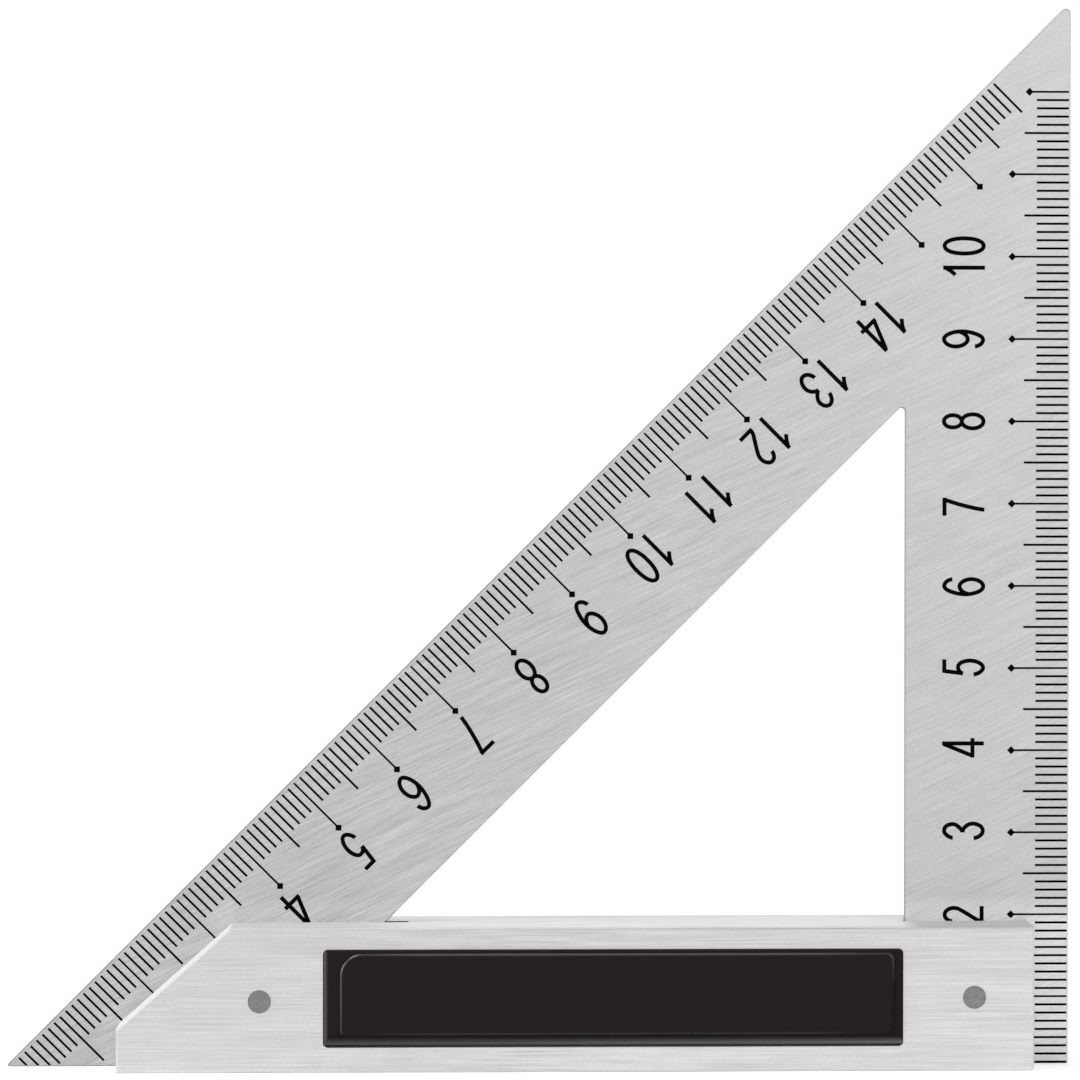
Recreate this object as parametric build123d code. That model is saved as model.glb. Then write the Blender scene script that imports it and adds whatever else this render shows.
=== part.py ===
from build123d import *
from math import radians, sqrt, tan
import os

# A marking triangle of 45 degrees: a steel blade riveted into a slotted aluminium stock, with a
# black inlay. Millimetres. The stock lies along X and the blade stands up along Z, in the XZ plane.
# The inlaid front faces -Y. The pieces are made about the stock's middle plane and then moved by half
# of what the inlay stands proud, so that the origin is the middle of the part's box, where it stands.

# Blade: flat steel sheet, cut to an upright arm and a slanted arm that join at the peak
leg_length = 129.1
blade_thickness = 1.2
upright_arm_width = 20.0
slanted_arm_width = 20.2
heel_radius = 0.3
peak_radius = 0.6
toe_radius = 0.2
window_radius = 0.5
blade_edge_break = 0.1
foot_sink = 1.0

# Stock: aluminium bar, bevelled at its left end, which the blade's toe and heel stick out of
toe_overhang = 13.7
heel_overhang = 5.1
stock_height = 17.4
stock_thickness = 15.0
bevel_land = 5.2
bevel_angle = 41.5
stock_corner_radius = 0.5
stock_edge_radius = 0.35

# Slots: plunge cuts of a slitting saw from both ends, one for each foot of the blade
saw_radius = 40.0
slot_clearance = 0.02
slanted_slot_reach = 2.8
upright_slot_reach = 0.1

# Rivets: solid, spread flush into countersinks in both faces of the stock
rivet_shank_radius = 1.1
rivet_head_radius = 1.38
rivet_head_depth = 0.5
rivet_clearance = 0.02
rivet_left_inset = 17.2
rivet_left_drop = 0.12
rivet_right_inset = 7.2
rivet_right_lift = 0.19

# Pocket in the stock's front, between the rivets
pocket_left_gap = 7.6
pocket_right_gap = 8.6
pocket_top_margin = 2.6
pocket_bottom_margin = 3.02
pocket_depth = 2.4
pocket_radius = 0.6

# Inlay: moulded insert that stands proud, with a raised panel and a rim that rolls over, most of all below
inlay_clearance = 0.05
inlay_rise = 0.35
panel_step = 0.4
panel_edge_radius = 0.35
rim_left_round = 0.55
rim_right_round = 0.3
rim_top_round = 0.2
rim_bottom_round = 1.1
rim_left_width = 2.0
rim_right_width = 1.1
rim_top_width = 0.42
rim_bottom_width = 1.54
panel_top_left_radius = 2.7
panel_top_right_radius = 0.9
panel_bottom_right_radius = 1.0
panel_bottom_left_radius = 0.5

# Tape: double-sided pad let into the back of the inlay
tape_thickness = 0.25
tape_margin = 1.5
tape_radius = 0.8
tape_clearance = 0.1

# Cuts run this far past the surface that they open
overrun = 1.0

# Places that follow from the sizes
half_corner = radians(45 / 2)
toe_trim = toe_radius * (1 / tan(half_corner) - 1)
heel_x = (leg_length - toe_trim) / 2
toe_x = heel_x - leg_length
upright_inner_x = heel_x - upright_arm_width
slanted_inner_x = toe_x + slanted_arm_width * sqrt(2)
window_peak_z = upright_inner_x - slanted_inner_x
stock_left_x = toe_x + toe_overhang
stock_right_x = heel_x - heel_overhang
stock_front_y = -stock_thickness / 2
stock_middle_z = stock_height / 2
bevel_run = (stock_height - bevel_land) / tan(radians(bevel_angle))
foot_shoulder_z = stock_height - foot_sink
foot_inner_x = slanted_inner_x + foot_shoulder_z
rivet_places = {
    "left": (stock_left_x + rivet_left_inset, stock_middle_z - rivet_left_drop),
    "right": (stock_right_x - rivet_right_inset, stock_middle_z + rivet_right_lift),
}
pocket_left_x = rivet_places["left"][0] + pocket_left_gap
pocket_right_x = rivet_places["right"][0] - pocket_right_gap
pocket_top_z = stock_height - pocket_top_margin
pocket_length = pocket_right_x - pocket_left_x
pocket_height = pocket_top_z - pocket_bottom_margin
pocket_middle = ((pocket_left_x + pocket_right_x) / 2, (pocket_top_z + pocket_bottom_margin) / 2)
pocket_floor_y = stock_front_y + pocket_depth
rim_depth = pocket_depth + inlay_rise
box_shift_y = (inlay_rise + panel_step) / 2


def front_plane(y):
    """A plane square to Y whose own axes run along X and Z and whose normal faces the front."""
    return Plane(origin=(0, y, 0), x_dir=(1, 0, 0), z_dir=(0, -1, 0))


def rounded(sketch, corner, radius):
    """Round the corner of a flat sketch that lies nearest to a point."""
    return fillet(sketch.vertices().sort_by_distance(corner)[0], radius)


def rivet_form(place, gap):
    """A rivet along Y at a place (x, z), as long as the stock is thick; gap widens it for its hole."""
    shank = rivet_shank_radius + gap
    head = rivet_head_radius + gap
    face = stock_thickness / 2
    neck = face - rivet_head_depth
    half_profile = Polyline(
        (0, -face),
        (head, -face),
        (shank, -neck),
        (shank, neck),
        (head, face),
        (0, face),
        close=True,
    )
    x, z = place
    return Pos(x, 0, z) * revolve(make_face(half_profile), Axis.Y)


def rivet_holes():
    return [rivet_form(place, rivet_clearance) for place in rivet_places.values()]


def make_blade():
    heel = (heel_x, 0)
    peak = (heel_x, leg_length)
    toe = (toe_x, 0)
    window_peak = (upright_inner_x, window_peak_z)
    outline = Polyline(
        heel,
        peak,
        toe,
        (foot_inner_x, 0),
        (foot_inner_x, foot_shoulder_z),
        window_peak,
        (upright_inner_x, 0),
        close=True,
    )
    sheet = make_face(outline)
    sheet = rounded(sheet, heel, heel_radius)
    sheet = rounded(sheet, peak, peak_radius)
    sheet = rounded(sheet, toe, toe_radius)
    sheet = rounded(sheet, window_peak, window_radius)
    blade = extrude(front_plane(0) * sheet, blade_thickness / 2, both=True)
    blade = chamfer(blade.faces().filter_by(Axis.Y).edges(), blade_edge_break)
    return blade - rivet_holes()


def saw_cut(end_x, side):
    """A slot that reaches end_x on the stock's top face, sawn in from the left (-1) or right (1)."""
    centre_x = end_x + side * sqrt(saw_radius**2 - stock_middle_z**2)
    width = blade_thickness + 2 * slot_clearance
    disc = Cylinder(saw_radius, width, rotation=(90, 0, 0))
    return Pos(centre_x, 0, stock_middle_z) * disc


def make_stock():
    lower_right = (stock_right_x, 0)
    outline = Polyline(
        (stock_left_x, 0),
        lower_right,
        (stock_right_x, stock_height),
        (stock_left_x + bevel_run, stock_height),
        (stock_left_x, bevel_land),
        close=True,
    )
    profile = rounded(make_face(outline), lower_right, stock_corner_radius)
    bar = extrude(front_plane(0) * profile, stock_thickness / 2, both=True)
    bar = fillet(bar.faces().filter_by(Axis.Y).edges(), stock_edge_radius)
    slanted_slot = saw_cut(slanted_inner_x + stock_height + slanted_slot_reach, -1)
    upright_slot = saw_cut(upright_inner_x - upright_slot_reach, 1)
    mouth = Pos(*pocket_middle) * RectangleRounded(pocket_length, pocket_height, pocket_radius)
    pocket = extrude(front_plane(pocket_floor_y) * mouth, pocket_depth + overrun)
    return bar - [slanted_slot, upright_slot, pocket] - rivet_holes()


def tape_outline(gap):
    """The tape's outline, with a gap all round for the recess that takes it."""
    length = pocket_length - 2 * tape_margin + 2 * gap
    height = pocket_height - 2 * tape_margin + 2 * gap
    return Pos(*pocket_middle) * RectangleRounded(length, height, tape_radius + gap)


def make_tape():
    return extrude(front_plane(pocket_floor_y) * tape_outline(0), tape_thickness)


def make_rim():
    """The inlay's base: its outline, cut by the rolled sections seen from the end and from above."""
    left = pocket_left_x + inlay_clearance
    right = pocket_right_x - inlay_clearance
    bottom = pocket_bottom_margin + inlay_clearance
    top = pocket_top_z - inlay_clearance
    front = pocket_floor_y - rim_depth
    length = right - left
    height = top - bottom
    outline = Pos(*pocket_middle) * RectangleRounded(length, height, pocket_radius - inlay_clearance)
    base = extrude(front_plane(pocket_floor_y) * outline, rim_depth)

    end_corners = [(front, bottom), (front, top), (pocket_floor_y, top), (pocket_floor_y, bottom)]
    end_section = make_face(Polyline(*end_corners, close=True))
    end_section = rounded(end_section, (front, bottom), rim_bottom_round)
    end_section = rounded(end_section, (front, top), rim_top_round)
    along = extrude(Plane.YZ.offset(left) * end_section, length)

    plan_corners = [(left, front), (right, front), (right, pocket_floor_y), (left, pocket_floor_y)]
    plan_section = make_face(Polyline(*plan_corners, close=True))
    plan_section = rounded(plan_section, (left, front), rim_left_round)
    plan_section = rounded(plan_section, (right, front), rim_right_round)
    upwards = extrude(Plane.XY.offset(bottom) * plan_section, height)
    return base & along & upwards


def make_inlay():
    left = pocket_left_x + rim_left_width
    right = pocket_right_x - rim_right_width
    bottom = pocket_bottom_margin + rim_bottom_width
    top = pocket_top_z - rim_top_width
    corners = {
        (left, top): panel_top_left_radius,
        (right, top): panel_top_right_radius,
        (right, bottom): panel_bottom_right_radius,
        (left, bottom): panel_bottom_left_radius,
    }
    panel_outline = make_face(Polyline(*corners, close=True))
    for corner, radius in corners.items():
        panel_outline = rounded(panel_outline, corner, radius)
    panel = extrude(front_plane(pocket_floor_y) * panel_outline, rim_depth + panel_step)
    panel = fillet(panel.faces().sort_by(Axis.Y)[0].edges(), panel_edge_radius)

    tape_recess = extrude(front_plane(pocket_floor_y) * tape_outline(tape_clearance), tape_thickness)
    return make_rim() + panel - tape_recess


pieces = {
    "blade": make_blade(),
    "stock": make_stock(),
    "inlay": make_inlay(),
    "inlay_tape": make_tape(),
}
for side, place in rivet_places.items():
    pieces["rivet_" + side] = rivet_form(place, 0)

os.makedirs("parts", exist_ok=True)
for node, shape in pieces.items():
    export_step(Pos(0, box_shift_y, 0) * shape, "parts/" + node + ".step")
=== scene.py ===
from math import cos, pi, radians, sin

import bmesh
import bpy
from mathutils import Matrix, Vector


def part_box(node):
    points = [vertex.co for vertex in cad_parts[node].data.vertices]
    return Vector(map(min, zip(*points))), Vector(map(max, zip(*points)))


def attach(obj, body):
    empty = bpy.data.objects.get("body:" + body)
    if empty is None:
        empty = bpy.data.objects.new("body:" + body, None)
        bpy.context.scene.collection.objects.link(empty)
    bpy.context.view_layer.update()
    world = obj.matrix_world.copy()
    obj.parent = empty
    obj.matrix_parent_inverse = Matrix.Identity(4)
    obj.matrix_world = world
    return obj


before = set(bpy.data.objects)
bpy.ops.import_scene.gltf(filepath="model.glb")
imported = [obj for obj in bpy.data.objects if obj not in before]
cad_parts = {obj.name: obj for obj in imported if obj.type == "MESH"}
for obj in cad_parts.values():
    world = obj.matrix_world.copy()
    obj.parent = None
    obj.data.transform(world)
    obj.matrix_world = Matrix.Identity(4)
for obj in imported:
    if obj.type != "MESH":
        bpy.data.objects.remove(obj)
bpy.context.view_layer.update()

# A marking triangle of 45 degrees: a brushed steel blade in a brushed aluminium stock with a black
# inlay. The solids come from the frame. This script prints the two scales on the blade, gives every
# piece its finish, and sets the light and the camera. Metres, unless a value says otherwise.

MM = 0.001

# Blade: its printed face, its two scale edges and its upright arm
blade_low, blade_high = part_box("blade")
blade_face_y = blade_low.y
heel_edge_x = blade_high.x
upright_arm_width = 20 * MM
upright_inner_x = heel_edge_x - upright_arm_width
slanted_edge_shift = max(v.co.z - v.co.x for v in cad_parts["blade"].data.vertices)

# Stock: its bevel, and the slots that take the blade
stock_low, stock_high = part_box("stock")
stock_middle = (stock_low + stock_high) / 2
stock_bevel_turn = radians(41.5)
stock_bevel_out = Vector((-sin(stock_bevel_turn), 0, cos(stock_bevel_turn)))
stock_bevel_shift = max(v.co.dot(stock_bevel_out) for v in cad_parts["stock"].data.vertices)
stock_bevel_end_x = (stock_high.z * stock_bevel_out.z - stock_bevel_shift) / -stock_bevel_out.x
slot_clearance = 0.02 * MM
slot_half_width = (blade_high.y - blade_low.y) / 2 + slot_clearance

# Inlay: its raised panel, and the rim to its right and below
inlay_low, inlay_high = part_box("inlay")
panel_step = 0.4 * MM
rim_right_width = 1.05 * MM
rim_bottom_width = 1.49 * MM
panel_right_x = inlay_high.x - rim_right_width
panel_bottom_z = inlay_low.z + rim_bottom_width

# Brushing of the metal: how deep its lines are
brush_depth = 0.01 * MM

# Ink: a thin printed film that ends a little above the blade's foot. Points of a print that lie
# nearer to each other than the merge distance become one.
ink_thickness = 0.01 * MM
ink_margin = 0.15 * MM
merge_distance = 0.0001 * MM

# Upright scale: marks that start at the right edge, with figures that read upwards. The first and
# last mark and the figures' shifts along the scale are in millimetres, and the figures in centimetres.
upright_zero = -1.81 * MM
upright_first = 2
upright_last = 120
upright_start = 0.2 * MM
upright_minor_end = 4.1 * MM
upright_five_end = 5.6 * MM
upright_ten_end = 7.05 * MM
upright_last_end = 5.0 * MM
upright_figures = range(2, 11)
upright_figure_foot = 10.38 * MM
upright_figure_shifts = {3: 0.2, 4: 0.29, 5: 0.09, 6: -0.1, 7: -0.37, 10: -0.1}

# Slanted scale: the same along the slanted edge, with figures whose tops point inwards
slanted_zero = -1.09 * MM
slanted_first = 3
slanted_last = 170
slanted_start = 0.4 * MM
slanted_minor_end = 4.4 * MM
slanted_five_end = 6.4 * MM
slanted_ten_end = 8.06 * MM
slanted_first_ten_end = 7.9 * MM
slanted_last_end = 5.3 * MM
slanted_figures = range(4, 15)
slanted_figure_foot = 9.08 * MM
slanted_figure_shifts = {4: 0.36, 5: 0.3, 6: 0.45, 7: 0.41, 8: 0.43, 9: 0.44, 10: 0.1, 13: 0.1, 14: 0.15}

# Marks: line widths, the diamond that ends most tenth lines, and the millimetres from one longer
# line to the next
minor_line_width = 0.27 * MM
ten_line_width = 0.24 * MM
diamond_half_diagonal = 0.5 * MM
five_step = 5
ten_step = 10

# Figures: pen strokes in millimetres, x from the middle of the figure's cell and y from its foot.
# A knot is (x, y, handle x, handle y), and a straight stroke has knots without handles. An oval has
# a knot at its right, top, left and foot.
pen_width = 0.5
figure_height = 5.1
figure_advance = 2.78
curve_steps = 10
oval_knots = 4
figure_strokes = {
    "0": [[(0.92, 2.55, 0, 1.5), (0, 4.93, -0.52, 0), (-0.92, 2.55, 0, -1.5), (0, 0.17, 0.52, 0)]],
    "1": [
        [(0.14, 0), (0.14, 5.1)],
        [(0.16, 4.95, -0.12, -0.4), (-0.74, 3.62, -0.3, -0.24)],
    ],
    "2": [
        [
            (-0.83, 3.82, 0.04, 0.5),
            (0, 4.74, 0.45, 0),
            (0.79, 3.68, 0, -0.45),
            (0.45, 2.62, -0.22, -0.4),
            (-0.62, 0.85, -0.12, -0.22),
            (-0.78, 0.2, -0.02, -0.2),
        ],
        [(-1.0, 0.22), (1.02, 0.22)],
    ],
    "3": [
        [
            (-0.86, 3.76, 0.04, 0.42),
            (0.03, 4.83, 0.48, 0),
            (0.81, 3.79, 0, -0.55),
            (-0.22, 2.58, -0.3, 0),
        ],
        [
            (-0.22, 2.58, 0.5, 0),
            (0.86, 1.36, 0, -0.66),
            (0, 0.1, -0.5, 0),
            (-0.9, 1.22, -0.03, 0.5),
        ],
    ],
    "4": [
        [(0.54, 0), (0.54, 5.1)],
        [(-1.19, 1.39), (1.19, 1.39)],
        [(0.46, 4.9), (-0.96, 1.39)],
    ],
    "5": [
        [(-0.66, 4.85), (0.97, 4.85)],
        [(-0.44, 4.85), (-0.74, 2.55)],
        [
            (-0.74, 2.62, 0.2, 0.3),
            (0.05, 3.17, 0.45, 0),
            (0.82, 1.72, 0, -0.78),
            (-0.02, 0.12, -0.45, 0),
            (-0.86, 1.27, -0.03, 0.45),
        ],
    ],
    "6": [
        [
            (0.9, 3.89, -0.03, 0.42),
            (0.07, 4.88, -0.52, 0),
            (-0.92, 2.3, 0, -1.1),
            (0.01, 0.12, 0.5, 0),
            (0.92, 1.56, 0, 0.78),
            (0.05, 3.02, -0.42, 0),
            (-0.86, 2.0, -0.08, -0.5),
        ]
    ],
    "7": [
        [(-1.1, 4.87), (1.1, 4.87)],
        [(0.84, 4.8, -0.5, -1.3), (-0.38, 0, -0.16, -1.3)],
    ],
    "8": [
        [(0.74, 3.88, 0, 0.6), (0, 4.96, -0.42, 0), (-0.74, 3.88, 0, -0.6), (0, 2.78, 0.42, 0)],
        [(0.85, 1.47, 0, 0.74), (0, 2.78, -0.47, 0), (-0.85, 1.47, 0, -0.74), (0, 0.14, 0.47, 0)],
    ],
}

# Camera: a long lens in front of the blade, a little above the middle and left of it. Its sensor
# and lens are in millimetres, and its angles in radians.
camera_place = Vector((-16.92, -557.42, 73.67)) * MM
camera_sensor = 36
camera_lens = 153.33
camera_tilt = -0.01778
camera_roll = -0.00078
camera_turn = -0.03032


# Modelling helpers


def deselect_all():
    bpy.ops.object.select_all(action="DESELECT")


def select_only(*objects):
    deselect_all()
    for obj in objects:
        obj.select_set(True)
    bpy.context.view_layer.objects.active = objects[0]


def apply_place(obj):
    select_only(obj)
    bpy.ops.object.transform_apply(location=True, rotation=True, scale=True)


def select_points(obj, test):
    """Select the points of the mesh in edit mode that pass a test of their place."""
    mesh = bmesh.from_edit_mesh(obj.data)
    bpy.ops.mesh.select_all(action="DESELECT")
    for vertex in mesh.verts:
        vertex.select_set(test(vertex.co))
    mesh.select_flush(True)
    bmesh.update_edit_mesh(obj.data)


def copy_of(master):
    """A copy of a modelled piece with a mesh of its own."""
    copy = master.copy()
    copy.data = master.data.copy()
    bpy.context.collection.objects.link(copy)
    return copy


def join(objects, name):
    select_only(*objects)
    bpy.ops.object.join()
    joined = bpy.context.object
    joined.name = name
    return joined


def remove(*objects):
    for obj in objects:
        bpy.data.objects.remove(obj)


def close_up(obj):
    """Merge doubled points and turn all faces outwards."""
    select_only(obj)
    bpy.ops.object.mode_set(mode="EDIT")
    bpy.ops.mesh.select_all(action="SELECT")
    bpy.ops.mesh.remove_doubles(threshold=merge_distance)
    bpy.ops.mesh.normals_make_consistent(inside=False)
    bpy.ops.object.mode_set(mode="OBJECT")


# Scale marks


def make_line(start, end, width, diamond=False):
    """A printed line along Y from start to end. A diamond is centred on the line's end."""
    deselect_all()
    straight_end = end - diamond_half_diagonal + width / 2 if diamond else end
    bpy.ops.mesh.primitive_plane_add(size=1, location=(0, (start + straight_end) / 2, 0))
    line = bpy.context.object
    line.scale = (width, straight_end - start, 1)
    apply_place(line)
    bpy.ops.object.mode_set(mode="EDIT")
    bpy.ops.mesh.select_mode(type="VERT")
    if diamond:
        select_points(line, lambda co: co.y > (start + straight_end) / 2)
        bpy.ops.mesh.extrude_edges_move(TRANSFORM_OT_translate={"value": (0, end - straight_end, 0)})
        widen = 2 * diamond_half_diagonal / width
        bpy.ops.transform.resize(value=(widen, 1, 1), center_override=(0, end, 0))
        bpy.ops.mesh.extrude_edges_move(TRANSFORM_OT_translate={"value": (0, diamond_half_diagonal, 0)})
        bpy.ops.mesh.merge(type="CENTER")
    bpy.ops.mesh.select_all(action="SELECT")
    bpy.ops.mesh.extrude_region_move(TRANSFORM_OT_translate={"value": (0, 0, ink_thickness)})
    bpy.ops.object.mode_set(mode="OBJECT")
    return line


def make_marks(name, marks, masters, zero, direction):
    """Copy a master line to each mark of a scale laid flat along X, and join the copies."""
    copies = []
    for millimetre, kind in marks:
        copy = copy_of(masters[kind])
        copy.location.x = direction * (millimetre * MM + zero)
        copies.append(copy)
    remove(*masters.values())
    joined = join(copies, name)
    apply_place(joined)
    return joined


def kind_of_mark(millimetre):
    if millimetre % ten_step == 0:
        return "ten"
    if millimetre % five_step == 0:
        return "five"
    return "minor"


# Figures


def make_nib():
    """The flat section that a pen stroke carries along its path."""
    half = pen_width / 2
    film = ink_thickness / MM
    outline = bpy.data.curves.new("nib", "CURVE")
    spline = outline.splines.new("POLY")
    corners = [(-half, 0), (half, 0), (half, film), (-half, film)]
    spline.points.add(len(corners) - 1)
    for point, (x, y) in zip(spline.points, corners):
        point.co = (x, y, 0, 1)
    spline.use_cyclic_u = True
    nib = bpy.data.objects.new("nib", outline)
    bpy.context.collection.objects.link(nib)
    return nib


def is_oval(knots):
    """Whether a curved stroke goes all the way round, with upright handles at its right and left."""
    return len(knots) == oval_knots and knots[0][2] == knots[2][2] == 0


def make_stroke(knots, nib):
    """One pen stroke as a flat solid. An oval is closed."""
    deselect_all()
    bpy.ops.curve.primitive_bezier_curve_add()
    stroke = bpy.context.object
    path = stroke.data
    path.dimensions = "3D"
    path.twist_mode = "Z_UP"
    path.bevel_mode = "OBJECT"
    path.bevel_object = nib
    path.use_fill_caps = True
    spline = path.splines[0]
    spline.bezier_points.add(len(knots) - len(spline.bezier_points))
    curved = len(knots[0]) > 2
    spline.resolution_u = curve_steps if curved else 1
    for point, knot in zip(spline.bezier_points, knots):
        place = Vector((knot[0], knot[1], 0))
        handle = Vector((knot[2], knot[3], 0)) if curved else Vector()
        point.handle_left_type = point.handle_right_type = "FREE" if curved else "VECTOR"
        point.co = place
        point.handle_left = place - handle
        point.handle_right = place + handle
    spline.use_cyclic_u = curved and is_oval(knots)
    select_only(stroke)
    bpy.ops.object.convert(target="MESH")
    stroke = bpy.context.object
    close_up(stroke)
    return stroke


def make_figure(strokes, nib):
    """The strokes of one figure, united into one solid."""
    figure, *others = [make_stroke(knots, nib) for knots in strokes]
    for other in others:
        union = figure.modifiers.new("union", "BOOLEAN")
        union.operation = "UNION"
        union.solver = "EXACT"
        union.object = other
        select_only(figure)
        bpy.ops.object.modifier_apply(modifier=union.name)
        remove(other)
    return figure


def make_figures():
    nib = make_nib()
    figures = {name: make_figure(strokes, nib) for name, strokes in figure_strokes.items()}
    remove(nib)
    figures["9"] = copy_of(figures["6"])
    figures["9"].matrix_world = Matrix.Translation((0, figure_height, 0)) @ Matrix.Rotation(pi, 4, "Z")
    apply_place(figures["9"])
    for figure in figures.values():
        figure.scale = (MM, MM, MM)
        apply_place(figure)
    return figures


def make_numbers(name, numbers, figures, zero, direction, foot, shifts):
    """Copy the figures to each numbered mark of a scale laid flat along X, and join the copies."""
    copies = []
    for number in numbers:
        digits = str(number)
        middle = direction * (number * ten_step * MM + zero) + shifts.get(number, 0) * MM
        for place, digit in enumerate(digits):
            copy = copy_of(figures[digit])
            cell = (place - (len(digits) - 1) / 2) * figure_advance * MM
            copy.location = (middle + cell, foot, 0)
            copies.append(copy)
    joined = join(copies, name)
    apply_place(joined)
    return joined


def lay_on_blade(obj, corner, along, inward):
    """Turn a flat print, drawn along X and inwards along Y, on to the blade's front face."""
    outward = along.cross(inward)
    turn = Matrix((along, inward, outward)).transposed().to_4x4()
    obj.matrix_world = Matrix.Translation(corner) @ turn
    apply_place(obj)
    close_up(obj)


def trim_at_foot(obj):
    """Cut off what reaches past the blade's bottom edge."""
    select_only(obj)
    bpy.ops.object.mode_set(mode="EDIT")
    bpy.ops.mesh.select_all(action="SELECT")
    bpy.ops.mesh.bisect(
        plane_co=(0, 0, blade_low.z + ink_margin),
        plane_no=(0, 0, 1),
        clear_inner=True,
        use_fill=True,
    )
    bpy.ops.object.mode_set(mode="OBJECT")


def dress(piece, ink):
    """Give a printed piece its ink and fix it to the blade."""
    piece.data.materials.clear()
    piece.data.materials.append(ink)
    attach(piece, "root")


def print_upright_scale(figures, ink):
    masters = {
        "minor": make_line(upright_start, upright_minor_end, minor_line_width),
        "five": make_line(upright_start, upright_five_end, minor_line_width),
        "ten": make_line(upright_start, upright_ten_end, ten_line_width, diamond=True),
        "last": make_line(upright_start, upright_last_end, ten_line_width, diamond=True),
    }
    marks = [(m, kind_of_mark(m)) for m in range(upright_first, upright_last)]
    marks.append((upright_last, "last"))
    lines = make_marks("upright_scale_marks", marks, masters, upright_zero, 1)
    numbers = make_numbers(
        "upright_scale_numbers",
        upright_figures,
        figures,
        upright_zero,
        1,
        upright_figure_foot,
        upright_figure_shifts,
    )
    corner = Vector((heel_edge_x, blade_face_y, 0))
    along = Vector((0, 0, 1))
    inward = Vector((-1, 0, 0))
    for piece in (lines, numbers):
        lay_on_blade(piece, corner, along, inward)
        dress(piece, ink)


def print_slanted_scale(figures, ink):
    masters = {
        "minor": make_line(slanted_start, slanted_minor_end, minor_line_width),
        "five": make_line(slanted_start, slanted_five_end, minor_line_width),
        "ten": make_line(slanted_start, slanted_ten_end, ten_line_width, diamond=True),
        "first_ten": make_line(slanted_start, slanted_first_ten_end, minor_line_width),
        "last": make_line(slanted_start, slanted_last_end, minor_line_width),
    }
    marks = [(m, kind_of_mark(m)) for m in range(slanted_first, slanted_last)]
    marks[ten_step - slanted_first] = (ten_step, "first_ten")
    marks.append((slanted_last, "last"))
    lines = make_marks("slanted_scale_marks", marks, masters, slanted_zero, -1)
    numbers = make_numbers(
        "slanted_scale_numbers",
        slanted_figures,
        figures,
        slanted_zero,
        -1,
        slanted_figure_foot,
        slanted_figure_shifts,
    )
    corner = Vector((-slanted_edge_shift, blade_face_y, 0))
    along = Vector((-1, 0, -1)).normalized()
    inward = Vector((1, 0, -1)).normalized()
    for piece in (lines, numbers):
        lay_on_blade(piece, corner, along, inward)
        dress(piece, ink)
    trim_at_foot(lines)


# Node helpers


def add_node(tree, kind, **settings):
    node = tree.nodes.new(kind)
    for key, value in settings.items():
        setattr(node, key, value)
    return node


def feed(tree, socket, value):
    """Link an output to a socket, or set the socket to a constant."""
    if isinstance(value, bpy.types.NodeSocket):
        tree.links.new(value, socket)
    else:
        socket.default_value = value


def calc(tree, operation, first, second=0.0, third=0.0):
    node = add_node(tree, "ShaderNodeMath", operation=operation)
    for socket, value in zip(node.inputs, (first, second, third)):
        feed(tree, socket, value)
    return node.outputs[0]


def mix_colour(tree, factor, first, second, blend="MIX"):
    node = add_node(tree, "ShaderNodeMix", data_type="RGBA", blend_type=blend)
    feed(tree, node.inputs["Factor"], factor)
    feed(tree, node.inputs["A"], first)
    feed(tree, node.inputs["B"], second)
    return node.outputs["Result"]


def mix_value(tree, factor, first, second):
    node = add_node(tree, "ShaderNodeMix")
    feed(tree, node.inputs["Factor"], factor)
    feed(tree, node.inputs["A"], first)
    feed(tree, node.inputs["B"], second)
    return node.outputs["Result"]


def spread(tree, value, low, high, new_low=0.0, new_high=1.0):
    """Map a value's range to a new one, held inside it."""
    node = add_node(tree, "ShaderNodeMapRange", clamp=True)
    for socket, number in zip(node.inputs, (value, low, high, new_low, new_high)):
        feed(tree, socket, number)
    return node.outputs[0]


def object_place(tree):
    """Where a point lies, in the frame that all pieces share."""
    return add_node(tree, "ShaderNodeTexCoord").outputs["Object"]


def surface_normal(tree):
    return add_node(tree, "ShaderNodeTexCoord").outputs["Normal"]


def split(tree, vector):
    """The X, Y and Z of a vector."""
    node = add_node(tree, "ShaderNodeSeparateXYZ")
    feed(tree, node.inputs[0], vector)
    return node.outputs["X"], node.outputs["Y"], node.outputs["Z"]


def stretched_place(tree, size, turn=(0, 0, 0)):
    """A point's place counted in a pattern's own lengths along its own turned axes."""
    mapping = add_node(tree, "ShaderNodeMapping", vector_type="TEXTURE")
    feed(tree, mapping.inputs["Vector"], object_place(tree))
    feed(tree, mapping.inputs["Rotation"], turn)
    feed(tree, mapping.inputs["Scale"], size)
    return mapping.outputs[0]


# The range that holds most values of a noise
noise_range = (0.3, 0.7)


def noise(tree, vector, scale=1.0, detail=2.0, roughness=0.5):
    node = add_node(tree, "ShaderNodeTexNoise")
    feed(tree, node.inputs["Vector"], vector)
    feed(tree, node.inputs["Scale"], scale)
    feed(tree, node.inputs["Detail"], detail)
    feed(tree, node.inputs["Roughness"], roughness)
    return node.outputs["Fac"]


def bump(tree, height, strength, distance):
    node = add_node(tree, "ShaderNodeBump")
    node.inputs["Strength"].default_value = strength
    node.inputs["Distance"].default_value = distance
    feed(tree, node.inputs["Height"], height)
    return node.outputs["Normal"]


def srgb(red, green, blue):
    """A linear colour from the 0 to 255 values that it shows on screen."""

    def linear(value):
        share = value / 255
        return share / 12.92 if share <= 0.04045 else ((share + 0.055) / 1.055) ** 2.4

    return (linear(red), linear(green), linear(blue), 1)


white = srgb(255, 255, 255)


def darken(tree, tone, mask, grey):
    """Multiply a tone by a screen grey where the mask is 0, and leave it where the mask is 1."""
    layer = mix_colour(tree, mask, srgb(grey, grey, grey), white)
    return mix_colour(tree, 1.0, tone, layer, "MULTIPLY")


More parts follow.
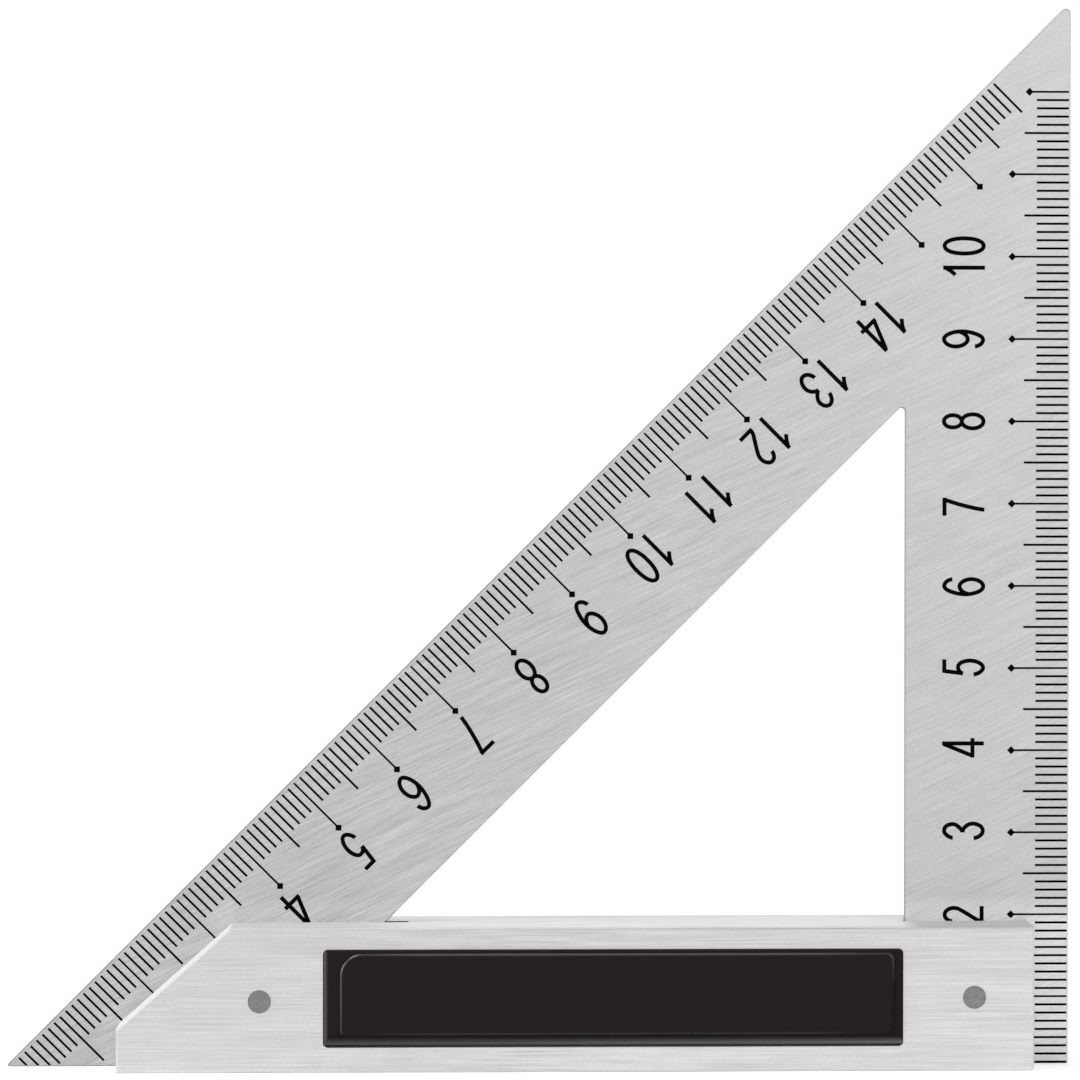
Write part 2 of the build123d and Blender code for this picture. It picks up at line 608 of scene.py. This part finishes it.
def new_group(name, inputs, outputs):
    tree = bpy.data.node_groups.new(name, "ShaderNodeTree")
    for socket, kind in inputs.items():
        tree.interface.new_socket(socket, in_out="INPUT", socket_type="NodeSocket" + kind)
    for socket, kind in outputs.items():
        tree.interface.new_socket(socket, in_out="OUTPUT", socket_type="NodeSocket" + kind)
    return tree, tree.nodes.new("NodeGroupInput").outputs, tree.nodes.new("NodeGroupOutput").inputs


def use_group(tree, group, **values):
    node = add_node(tree, "ShaderNodeGroup", node_tree=group)
    for key, value in values.items():
        feed(tree, node.inputs[key.replace("_", " ")], value)
    return node.outputs


def new_material(name):
    material = bpy.data.materials.new(name)
    material.use_nodes = True
    tree = material.node_tree
    return material, tree, tree.nodes["Principled BSDF"].inputs


# Brushing: two passes of an abrasive belt that cross a little, wider bands among them, and specks

pass_roughness = 0.6
both_passes_range = (0.7, 1.3)
lines_middle = 0.5
band_scale = 0.2
speck_size = 0.3 * MM
speck_range = (0.25, 0.75)


def make_brushed_lines():
    tree, given, out = new_group(
        "brushed_lines",
        {"Turn": "Vector", "Cross Turn": "Vector", "Line Size": "Vector"},
        {"Lines": "Float", "Bands": "Float", "Grain": "Float"},
    )
    first = stretched_place(tree, given["Line Size"], given["Turn"])
    second = stretched_place(tree, given["Line Size"], given["Cross Turn"])
    passes = [noise(tree, along, roughness=pass_roughness) for along in (first, second)]
    bands = noise(tree, first, scale=band_scale)
    specks = noise(tree, object_place(tree), scale=1 / speck_size)
    feed(tree, out["Lines"], spread(tree, calc(tree, "ADD", *passes), *both_passes_range))
    feed(tree, out["Bands"], spread(tree, bands, *noise_range))
    feed(tree, out["Grain"], spread(tree, specks, *speck_range))
    return tree


def make_mottle():
    """Slow patches, about a centimetre wide, of rolled and handled metal."""
    tree, given, out = new_group("mottle", {"Patch Size": "Vector"}, {"Patches": "Float"})
    patches = noise(tree, stretched_place(tree, given["Patch Size"]))
    feed(tree, out["Patches"], spread(tree, patches, *noise_range))
    return tree


# Facing: ranges of the surface's direction over which each mask goes from 0 to 1

face_range = (0.8, 0.95)
top_range = (0.6, 0.73)
upward_range = (0.2, 0.5)
right_range = (0, 0.5)


def make_facing():
    """Where a surface looks: to front or back, mostly up, at least partly up, or to the right."""
    masks = ("Face", "Top", "Upward", "Right")
    tree, _, out = new_group("facing", {}, dict.fromkeys(masks, "Float"))
    x, y, z = split(tree, surface_normal(tree))
    feed(tree, out["Face"], spread(tree, calc(tree, "ABSOLUTE", y), *face_range))
    feed(tree, out["Top"], spread(tree, z, *top_range))
    feed(tree, out["Upward"], spread(tree, z, *upward_range))
    feed(tree, out["Right"], spread(tree, x, *right_range))
    return tree


def make_edge_gloss():
    """Painted highlights: 0 on a flat front, and on roundings the gloss of each side by how far they turn
    towards it.
    """
    sides = ("Left", "Right", "Above", "Below")
    tree, given, out = new_group("painted_highlight_gloss", dict.fromkeys(sides, "Float"), {"Gloss": "Float"})
    x, _, z = split(tree, surface_normal(tree))
    total = 0.0
    for side, part, way in zip(sides, (x, x, z, z), (-1, 1, 1, -1)):
        turned = calc(tree, "MAXIMUM", calc(tree, "MULTIPLY", part, way), 0.0)
        total = calc(tree, "MULTIPLY_ADD", turned, given[side], total)
    feed(tree, out["Gloss"], total)
    return tree


# Blade steel: stainless sheet, belt brushed at a slant that rises to the right. The brushing is
# strongest at the lower left and faint at the peak. Painted shade darkens the sheet towards its foot,
# and a band of painted light lifts it where it leaves the stock, against the stock's shade. Its cut
# edges are darker than its faces, with painted shade where they look up and painted light to the right.

blade_brush_turn = -radians(23)
blade_cross_turn = -radians(28)
blade_line_size = (9 * MM, 9 * MM, 0.21 * MM)
blade_line_level = 0.88
blade_line_swing_left = 0.38
blade_line_swing_right = 0.2
blade_peak_fade = (blade_high.z - 33 * MM, blade_high.z - 8 * MM)
blade_peak_share = 0.55
blade_band_grey = 250
blade_speck_grey = 244
blade_patch_size = (9 * MM, 9 * MM, 5 * MM)
blade_patch_grey = 253
# Painted shade: the sheet darker at its foot and lighter towards its peak
blade_foot_tone = srgb(188, 186, 187)
blade_peak_tone = srgb(197, 195, 196)
# Painted light in a band where the sheet leaves the stock, against the stock's shade
painted_light_by_stock_tone = srgb(231, 229, 229)
painted_light_by_stock_reach = 3.2 * MM
slanted_shares = (0.36, 0.75)
slanted_share_range = (stock_bevel_end_x - 5 * MM, stock_bevel_end_x + 3 * MM)
upright_share_more = 0.25
heel_share = 0.46
heel_share_run = 1.5 * MM
# Cut edges: darker than the faces, with painted light to the right and painted shade looking up
blade_left_edge_tone = srgb(158, 156, 157)
blade_right_edge_painted_light_tone = srgb(206, 204, 205)
blade_upward_edge_painted_shade_tone = srgb(124, 122, 123)
blade_roughness = (0.4, 0.47)
blade_bump_strength = 0.25


def shade_by_stock(tree, place, x, z):
    """Where painted light lifts the blade: 1 at the stock's outline, 0 away from it, with a share for each
    stretch.
    """
    along_bevel = add_node(tree, "ShaderNodeVectorMath", operation="DOT_PRODUCT")
    feed(tree, along_bevel.inputs[0], place)
    along_bevel.inputs[1].default_value = stock_bevel_out
    past_bevel = calc(tree, "SUBTRACT", along_bevel.outputs["Value"], stock_bevel_shift)
    past_top = calc(tree, "SUBTRACT", z, stock_high.z)
    past_left_end = calc(tree, "SUBTRACT", stock_low.x, x)
    past_stock = calc(tree, "MAXIMUM", calc(tree, "MAXIMUM", past_bevel, past_top), past_left_end)
    near = spread(tree, past_stock, 0, painted_light_by_stock_reach, 1, 0)
    slanted = spread(tree, x, *slanted_share_range, *slanted_shares)
    upright = spread(tree, x, 0, upright_inner_x, 0, upright_share_more)
    heel = spread(tree, x, stock_high.x - heel_share_run, stock_high.x, 1, heel_share)
    share = calc(tree, "MULTIPLY", calc(tree, "ADD", slanted, upright), heel)
    return calc(tree, "MULTIPLY", near, share)


def make_blade_steel(lines, facing, mottle):
    material, tree, shader = new_material("brushed_blade_steel")
    grain = use_group(
        tree,
        lines,
        Turn=(0, blade_brush_turn, 0),
        Cross_Turn=(0, blade_cross_turn, 0),
        Line_Size=blade_line_size,
    )
    looks = use_group(tree, facing)
    patches = use_group(tree, mottle, Patch_Size=blade_patch_size)["Patches"]
    place = object_place(tree)
    x, _, z = split(tree, place)

    # Painted shade: darker at the foot, lighter towards the peak
    height = spread(tree, z, blade_low.z, blade_high.z)
    tone = mix_colour(tree, height, blade_foot_tone, blade_peak_tone)
    # Painted light where the sheet leaves the stock
    tone = mix_colour(tree, shade_by_stock(tree, place, x, z), tone, painted_light_by_stock_tone)
    # Painted light on edges that look right, painted shade on edges that look up
    edge = mix_colour(tree, looks["Right"], blade_left_edge_tone, blade_right_edge_painted_light_tone)
    edge = mix_colour(tree, looks["Upward"], edge, blade_upward_edge_painted_shade_tone)
    tone = mix_colour(tree, looks["Face"], edge, tone)
    swing = spread(tree, x, stock_low.x, upright_inner_x, blade_line_swing_left, blade_line_swing_right)
    swing = calc(tree, "MULTIPLY", swing, spread(tree, z, *blade_peak_fade, 1, blade_peak_share))
    about_middle = calc(tree, "SUBTRACT", grain["Lines"], lines_middle)
    lined = calc(tree, "MULTIPLY_ADD", about_middle, swing, blade_line_level)
    tone = mix_colour(tree, 1.0, tone, lined, "MULTIPLY")
    tone = darken(tree, tone, patches, blade_patch_grey)
    tone = darken(tree, tone, grain["Bands"], blade_band_grey)
    tone = darken(tree, tone, grain["Grain"], blade_speck_grey)

    feed(tree, shader["Base Color"], tone)
    feed(tree, shader["Roughness"], spread(tree, grain["Lines"], 0, 1, *blade_roughness))
    feed(tree, shader["Normal"], bump(tree, grain["Lines"], blade_bump_strength, brush_depth))
    shader["Metallic"].default_value = 1.0
    return material


# Stock aluminium: extruded bar, brushed along its length and down its bevel and ends. Top and bevel
# are duller than the front, and painted light makes them mostly paler, with a painted highlight on the
# bevel by the blade and painted light on the top behind the slanted arm. Painted shade darkens the top
# before both arms, the bevel behind the blade, the walls of the saw cuts, and the long upper edges
# towards the right. The front has painted light below, under the inlay and at its foot.

stock_brush_turn = radians(0.4)
stock_cross_turn = -radians(0.6)
stock_line_size = (8 * MM, 0.16 * MM, 0.16 * MM)
stock_line_grey = 228
stock_band_grey = 250
stock_speck_grey = 246
stock_patch_size = (14 * MM, 6 * MM, 5 * MM)
stock_patch_grey = 252
# Painted light on the front: paler below, under the inlay and at its foot
stock_low_tone = srgb(213, 211, 212)
stock_high_tone = srgb(205, 203, 204)
under_inlay_painted_light_tone = srgb(216, 214, 215)
under_inlay_end_blur = 1 * MM
under_inlay_upper_blur = 0.2 * MM
stock_foot_painted_light_tone = srgb(229, 227, 228)
stock_foot_height = 0.35 * MM
# Painted light: the top paler than the front, with painted shade before both arms
stock_top_tone = srgb(234, 232, 233)
top_by_slanted_painted_shade_tone = srgb(218, 216, 217)
top_by_slanted_range = (-21 * MM, -16 * MM)
top_by_upright_painted_shade_tone = srgb(195, 193, 194)
top_by_upright_range = (upright_inner_x - 0.8 * MM, upright_inner_x + 1.2 * MM)
# Bevel: painted light at the front, a painted highlight by the blade, painted shade behind it
bevel_front_painted_light_tone = srgb(240, 238, 239)
bevel_by_blade_painted_highlight_tone = srgb(246, 244, 245)
bevel_back_painted_shade_tone = srgb(226, 224, 225)
bevel_end_blur = 0.3 * MM
# Painted light on the top behind the slanted arm, against the blade's shadow
top_behind_painted_light_tone = srgb(254, 252, 253)
top_behind_depth = (0.5 * MM, 1.5 * MM)
top_behind_range = (-10 * MM, 5 * MM)
upper_edge_shade = srgb(229, 228, 228)
upper_edge_down = (0.2 * MM, 0.45 * MM)
upper_edge_inwards = (0.3 * MM, 0.9 * MM)
upper_edge_range = (-25 * MM, 25 * MM)
upper_edge_left_share = 0.3
upper_edge_by_arm_share = 0.55
# Painted shade on the walls of the saw cuts
slot_painted_shade_tone = srgb(104, 102, 103)
slot_mask_range = (slot_half_width + 0.01 * MM, slot_half_width + 0.03 * MM)
slot_fade_height = 0.5 * MM
stock_roughness = (0.42, 0.5)
stock_top_roughness = (0.74, 0.82)
stock_bump_strength = 0.2
stock_front_metallic = 0.7
stock_top_metallic = 0.1


def stock_front(tree, x, z):
    """The tone of the front, with painted light: paler below, under the inlay against its shadow and at
    its foot against the floor's shade.
    """
    tone = mix_colour(tree, spread(tree, z, stock_low.z, stock_high.z), stock_low_tone, stock_high_tone)
    past_left = calc(tree, "SUBTRACT", x, inlay_low.x)
    past_right = calc(tree, "SUBTRACT", inlay_high.x, x)
    inside = calc(tree, "MINIMUM", past_left, past_right)
    between = spread(tree, inside, -under_inlay_end_blur, under_inlay_end_blur)
    below = spread(tree, z, inlay_low.z, inlay_low.z - under_inlay_upper_blur)
    tone = mix_colour(tree, calc(tree, "MULTIPLY", between, below), tone, under_inlay_painted_light_tone)
    foot = spread(tree, z, stock_low.z + stock_foot_height, stock_low.z)
    return mix_colour(tree, foot, tone, stock_foot_painted_light_tone)


def stock_top(tree, x, y):
    """The tone of top and bevel: painted shade before the arms, painted light behind the slanted one, and
    on the bevel a painted highlight by the blade and painted shade behind it.
    """
    tone = mix_colour(tree, spread(tree, x, *top_by_slanted_range), top_by_slanted_painted_shade_tone, stock_top_tone)
    before_blade = spread(tree, y, blade_high.y, blade_low.y)
    by_upright = calc(tree, "MULTIPLY", spread(tree, x, *top_by_upright_range), before_blade)
    tone = mix_colour(tree, by_upright, tone, top_by_upright_painted_shade_tone)
    behind = spread(tree, calc(tree, "SUBTRACT", y, stock_middle.y), *top_behind_depth)
    beside = spread(tree, x, *top_behind_range, 1, 0)
    tone = mix_colour(tree, calc(tree, "MULTIPLY", behind, beside), tone, top_behind_painted_light_tone)
    # Painted highlight on the bevel by the blade, painted shade behind it
    to_blade = spread(tree, y, stock_low.y, blade_low.y)
    bevel = mix_colour(tree, to_blade, bevel_front_painted_light_tone, bevel_by_blade_painted_highlight_tone)
    bevel = mix_colour(tree, spread(tree, y, blade_low.y, blade_high.y), bevel, bevel_back_painted_shade_tone)
    on_bevel = spread(tree, x, stock_bevel_end_x, stock_bevel_end_x - bevel_end_blur)
    return mix_colour(tree, on_bevel, tone, bevel)


def stock_upper_edge(tree, x, z, off_middle):
    """1 on the long upper edges, with less to the left and before the upright arm, and 0 elsewhere."""
    from_top = calc(tree, "SUBTRACT", stock_high.z, z)
    from_side = calc(tree, "SUBTRACT", stock_high.y - stock_middle.y, off_middle)
    down = spread(tree, from_top, *upper_edge_down, 1, 0)
    inwards = spread(tree, from_side, *upper_edge_inwards, 1, 0)
    share = spread(tree, x, *upper_edge_range, upper_edge_left_share, 1)
    by_arm = spread(tree, x, *top_by_upright_range, 1, upper_edge_by_arm_share)
    edge = calc(tree, "MULTIPLY", down, inwards)
    return calc(tree, "MULTIPLY", edge, calc(tree, "MULTIPLY", share, by_arm))


def stock_slots(tree, z, off_middle, top):
    """1 on the walls of the saw cuts, which painted shade darkens, fading at the stock's foot, and 0
    elsewhere.
    """
    between_walls = spread(tree, off_middle, *slot_mask_range, 1, 0)
    above_foot = spread(tree, z, stock_low.z, stock_low.z + slot_fade_height)
    below_top = calc(tree, "SUBTRACT", 1.0, top)
    return calc(tree, "MULTIPLY", between_walls, calc(tree, "MULTIPLY", above_foot, below_top))


def turn_along_stock(tree, face, extra):
    """A turn about Y that lays the brushing along X on front and back, and along the slope elsewhere."""
    x, _, z = split(tree, surface_normal(tree))
    slope = calc(tree, "MULTIPLY", calc(tree, "ARCTAN2", x, z), calc(tree, "SUBTRACT", 1.0, face))
    turn = add_node(tree, "ShaderNodeCombineXYZ")
    feed(tree, turn.inputs["Y"], calc(tree, "ADD", slope, extra))
    return turn.outputs["Vector"]


def make_stock_aluminium(lines, facing, mottle):
    material, tree, shader = new_material("brushed_stock_aluminium")
    looks = use_group(tree, facing)
    top = looks["Top"]
    grain = use_group(
        tree,
        lines,
        Turn=turn_along_stock(tree, looks["Face"], stock_brush_turn),
        Cross_Turn=turn_along_stock(tree, looks["Face"], stock_cross_turn),
        Line_Size=stock_line_size,
    )
    patches = use_group(tree, mottle, Patch_Size=stock_patch_size)["Patches"]
    x, y, z = split(tree, object_place(tree))

    tone = mix_colour(tree, top, stock_front(tree, x, z), stock_top(tree, x, y))
    off_middle = calc(tree, "ABSOLUTE", calc(tree, "SUBTRACT", y, stock_middle.y))
    edge = stock_upper_edge(tree, x, z, off_middle)
    tone = mix_colour(tree, edge, tone, upper_edge_shade, "MULTIPLY")
    # Painted shade in the saw cuts
    tone = mix_colour(tree, stock_slots(tree, z, off_middle, top), tone, slot_painted_shade_tone)
    tone = darken(tree, tone, patches, stock_patch_grey)
    tone = darken(tree, tone, grain["Lines"], stock_line_grey)
    tone = darken(tree, tone, grain["Bands"], stock_band_grey)
    tone = darken(tree, tone, grain["Grain"], stock_speck_grey)

    feed(tree, shader["Base Color"], tone)
    roughness = spread(tree, grain["Lines"], 0, 1, *stock_roughness)
    top_roughness = spread(tree, grain["Lines"], 0, 1, *stock_top_roughness)
    feed(tree, shader["Roughness"], mix_value(tree, top, roughness, top_roughness))
    feed(tree, shader["Normal"], bump(tree, grain["Lines"], stock_bump_strength, brush_depth))
    feed(tree, shader["Metallic"], spread(tree, top, 0, 1, stock_front_metallic, stock_top_metallic))
    return material


# Rivet metal: solid rivets, ground flush

rivet_cross_turn = radians(70)
rivet_line_size = (0.5 * MM, 0.3 * MM, 0.1 * MM)
rivet_dark_tone = srgb(107, 105, 106)
rivet_light_tone = srgb(128, 126, 127)
rivet_roughness = (0.42, 0.52)


def make_rivet_metal(lines):
    material, tree, shader = new_material("ground_rivet_metal")
    grain = use_group(tree, lines, Cross_Turn=(0, rivet_cross_turn, 0), Line_Size=rivet_line_size)
    tone = mix_colour(tree, grain["Grain"], rivet_dark_tone, rivet_light_tone)
    feed(tree, shader["Base Color"], tone)
    feed(tree, shader["Roughness"], spread(tree, grain["Lines"], 0, 1, *rivet_roughness))
    shader["Metallic"].default_value = 1.0
    return material


# Inlay plastic: black, moulded, with a fine satin face. Its roundings carry a gloss coat whose share on
# each side of the rim and of the panel places painted highlights, most on the left and upper roundings
# and on the lower rim, and painted shade darkens the foot of the panel's step at right and below.

inlay_grain_size = 0.11 * MM
inlay_dark_tone = srgb(19, 11, 13)
inlay_light_tone = srgb(23, 15, 17)
# Painted shade at the foot of the panel's step
crevice_painted_shade_tone = srgb(4, 2, 3)
crevice_width = 0.45 * MM
crevice_start = 0.1 * MM
panel_front_share = 0.8
panel_end_run = (4.5 * MM, 11 * MM)
panel_left_run = (inlay_low.z + 2.5 * MM, inlay_low.z + 7 * MM)
panel_right_run = (inlay_high.z - 5.5 * MM, inlay_high.z - 1.5 * MM)
# Gloss shares of each side, which place painted highlights
rim_left_gloss = 0.75
rim_right_gloss = -0.3
rim_above_gloss = 0.1
rim_below_gloss = (0.7, 1.4)
panel_left_gloss = (0.6, 1.0)
panel_right_gloss = (-0.3, 0.5)
panel_above_gloss = (0.5, 1.2)
panel_below_gloss = (0, 0.3)
gloss_range = (-0.04, 0.8)
inlay_roughness = (0.22, 0.28)
inlay_bump_strength = 0.06
inlay_bump_depth = 0.005 * MM
inlay_coat_roughness = 0.25
inlay_coat_ior = 1.79
inlay_specular = 0.05


def make_inlay_plastic(edges):
    material, tree, shader = new_material("satin_inlay_plastic")
    place = object_place(tree)
    x, y, z = split(tree, place)
    grain = noise(tree, place, scale=1 / inlay_grain_size)
    raised = spread(tree, y, inlay_low.y + panel_step, inlay_low.y + panel_front_share * panel_step)

    black = mix_colour(tree, grain, inlay_dark_tone, inlay_light_tone)
    # Painted shade: the foot of the panel's step, at right and below, near black
    past_right = calc(tree, "SUBTRACT", x, panel_right_x)
    past_bottom = calc(tree, "SUBTRACT", panel_bottom_z, z)
    past_panel = calc(tree, "MAXIMUM", past_right, past_bottom)
    foot = calc(tree, "SUBTRACT", spread(tree, past_panel, 0, crevice_width, 1, 0), raised)
    crevice = calc(tree, "MULTIPLY", foot, spread(tree, past_panel, -crevice_start, 0))
    feed(tree, shader["Base Color"], mix_colour(tree, crevice, black, crevice_painted_shade_tone))

    # Gloss shares that place painted highlights on the roundings
    from_left = calc(tree, "SUBTRACT", x, inlay_low.x)
    from_right = calc(tree, "SUBTRACT", inlay_high.x, x)
    from_end = spread(tree, calc(tree, "MINIMUM", from_left, from_right), *panel_end_run)
    rim_below = spread(tree, x, inlay_low.x, inlay_high.x, *rim_below_gloss)
    panel_left = spread(tree, z, *panel_left_run, *panel_left_gloss)
    panel_right = spread(tree, z, *panel_right_run, *panel_right_gloss)
    panel_above = spread(tree, from_end, 0, 1, *panel_above_gloss)
    panel_below = spread(tree, from_end, 0, 1, *panel_below_gloss)
    sides = {
        "Left": mix_value(tree, raised, rim_left_gloss, panel_left),
        "Right": mix_value(tree, raised, rim_right_gloss, panel_right),
        "Above": mix_value(tree, raised, rim_above_gloss, panel_above),
        "Below": mix_value(tree, raised, rim_below, panel_below),
    }
    gloss = use_group(tree, edges, **sides)["Gloss"]
    feed(tree, shader["Coat Weight"], spread(tree, gloss, *gloss_range))
    shader["Coat Roughness"].default_value = inlay_coat_roughness
    shader["Coat IOR"].default_value = inlay_coat_ior
    shader["Specular IOR Level"].default_value = inlay_specular
    feed(tree, shader["Roughness"], spread(tree, grain, *noise_range, *inlay_roughness))
    feed(tree, shader["Normal"], bump(tree, grain, inlay_bump_strength, inlay_bump_depth))
    return material


# Tape foam: pale and porous

foam_cell_size = 0.25 * MM
foam_cell_detail = 3.0
foam_dark_tone = srgb(196, 194, 188)
foam_light_tone = srgb(222, 220, 214)
foam_roughness = 0.9
foam_bump_strength = 0.4
foam_bump_depth = 0.05 * MM


def make_tape_foam():
    material, tree, shader = new_material("tape_foam")
    cells = noise(tree, object_place(tree), scale=1 / foam_cell_size, detail=foam_cell_detail)
    feed(tree, shader["Base Color"], mix_colour(tree, cells, foam_dark_tone, foam_light_tone))
    feed(tree, shader["Normal"], bump(tree, cells, foam_bump_strength, foam_bump_depth))
    shader["Roughness"].default_value = foam_roughness
    return material


# Scale ink: black, in a faintly uneven film

ink_grain_size = 0.33 * MM
ink_dark_tone = srgb(2, 1, 1)
ink_light_tone = srgb(6, 4, 4)
ink_roughness = (0.5, 0.62)
ink_specular = 0.02


def make_scale_ink():
    material, tree, shader = new_material("black_scale_ink")
    film = noise(tree, object_place(tree), scale=1 / ink_grain_size)
    feed(tree, shader["Base Color"], mix_colour(tree, film, ink_dark_tone, ink_light_tone))
    feed(tree, shader["Roughness"], spread(tree, film, *noise_range, *ink_roughness))
    shader["Specular IOR Level"].default_value = ink_specular
    return material


def finish_nodes():
    lines = make_brushed_lines()
    facing = make_facing()
    mottle = make_mottle()
    rivet_metal = make_rivet_metal(lines)
    finishes = {
        "blade": make_blade_steel(lines, facing, mottle),
        "stock": make_stock_aluminium(lines, facing, mottle),
        "rivet_left": rivet_metal,
        "rivet_right": rivet_metal,
        "inlay": make_inlay_plastic(make_edge_gloss()),
        "inlay_tape": make_tape_foam(),
    }
    for node, material in finishes.items():
        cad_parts[node].material_slots[0].material = material


# Stage: a white floor that keeps the object's shadow, a white room and three soft lamps, whose power
# is in watts

floor_size = 6
floor_tone = (0.9, 0.9, 0.9, 1)
floor_glow = 0.37
room_light = 0.7
lamp_aim = Vector((0, 0, 0.05))
lamps = {
    "top_lamp": {"place": Vector((-0.42, -0.15, 0.92)), "size": 0.45, "power": 4.0},
    "right_lamp": {"place": Vector((0.62, -0.9, 0.3)), "size": 0.5, "power": 2.5},
    "left_lamp": {"place": Vector((-1.0, -0.4, 0.3)), "size": 0.5, "power": 3.5},
}


def seen_share(tree):
    """1 for a ray that sees or mirrors the stage, and 0 for one that only carries its light."""
    rays = add_node(tree, "ShaderNodeLightPath").outputs
    seen = calc(tree, "MAXIMUM", rays["Is Camera Ray"], rays["Is Glossy Ray"])
    return calc(tree, "MAXIMUM", seen, rays["Is Transmission Ray"])


def make_floor():
    deselect_all()
    bpy.ops.mesh.primitive_plane_add(size=floor_size)
    floor = bpy.context.object
    floor.name = "floor"
    material, tree, shader = new_material("white_floor")
    shader["Base Color"].default_value = floor_tone
    shader["Roughness"].default_value = 1.0
    shader["Specular IOR Level"].default_value = 0.0
    shader["Emission Color"].default_value = white
    feed(tree, shader["Emission Strength"], calc(tree, "MULTIPLY", seen_share(tree), floor_glow))
    floor.data.materials.append(material)


def make_room():
    room = bpy.data.worlds.new("white_room")
    bpy.context.scene.world = room
    room.use_nodes = True
    tree = room.node_tree
    background = tree.nodes["Background"].inputs
    background["Color"].default_value = white
    feed(tree, background["Strength"], spread(tree, seen_share(tree), 0, 1, room_light, 1.0))


def make_lamp(name, place, size, power):
    light = bpy.data.lights.new(name, "AREA")
    light.shape = "SQUARE"
    light.size = size
    light.energy = power
    lamp = bpy.data.objects.new(name, light)
    bpy.context.collection.objects.link(lamp)
    lamp.location = place
    lamp.rotation_euler = (lamp_aim - place).to_track_quat("-Z", "Y").to_euler()


def make_camera():
    lens = bpy.data.cameras.new("camera")
    lens.sensor_width = camera_sensor
    lens.lens = camera_lens
    camera = bpy.data.objects.new("camera", lens)
    bpy.context.collection.objects.link(camera)
    camera.location = camera_place
    camera.rotation_euler = (pi / 2 + camera_tilt, camera_roll, camera_turn)
    bpy.context.scene.camera = camera


finish_nodes()
figures = make_figures()
scale_ink = make_scale_ink()
print_upright_scale(figures, scale_ink)
print_slanted_scale(figures, scale_ink)
remove(*figures.values())

make_floor()
make_room()
for name, lamp in lamps.items():
    make_lamp(name, **lamp)
make_camera()
bpy.context.scene.view_settings.view_transform = "Standard"
